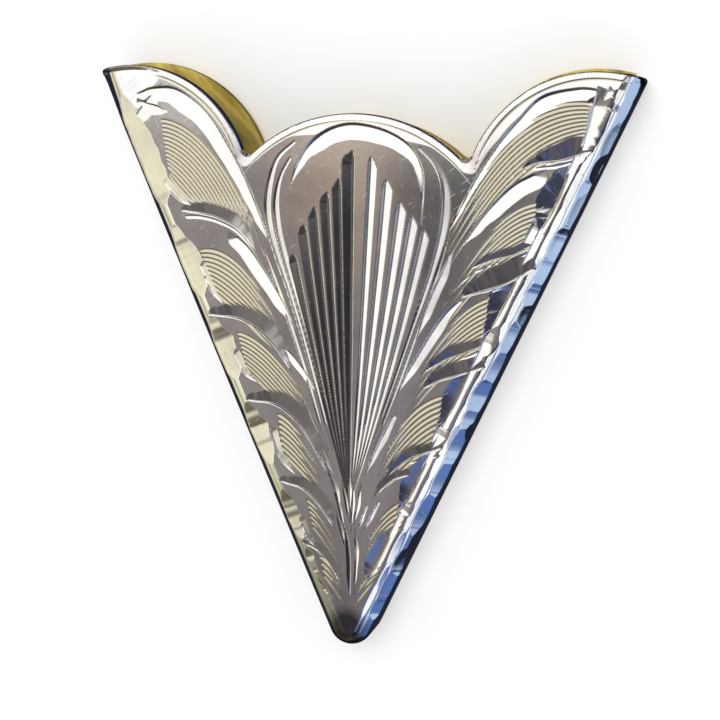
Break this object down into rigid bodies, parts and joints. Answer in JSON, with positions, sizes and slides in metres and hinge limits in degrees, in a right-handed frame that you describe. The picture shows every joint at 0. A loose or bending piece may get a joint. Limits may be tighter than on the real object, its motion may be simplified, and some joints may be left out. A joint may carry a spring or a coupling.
{
  "type": "collar tip",
  "caption": "Slide-on pocket that dresses the point of a shirt collar, with an engraved leaf front, rolled sides and a lobed mouth.",
  "frame": {"origin": "on the surface it lies on, under the middle of the outline", "axes": "+Z out of the engraved front, +Y out of the open mouth, +X to the right as the front is looked at with the mouth at the top"},
  "size_m": [0.0378, 0.0406, 0.005],
  "materials": {
    "silver": "silver plate, polished and bright-cut, a little worn",
    "brass": "plain yellow brass, satin",
    "steel": "plain turned steel"
  },
  "bodies": {
    "root": {"front_shell": "silver", "back_plate": "brass", "set_screw": "steel"}
  },
  "joints": []
}
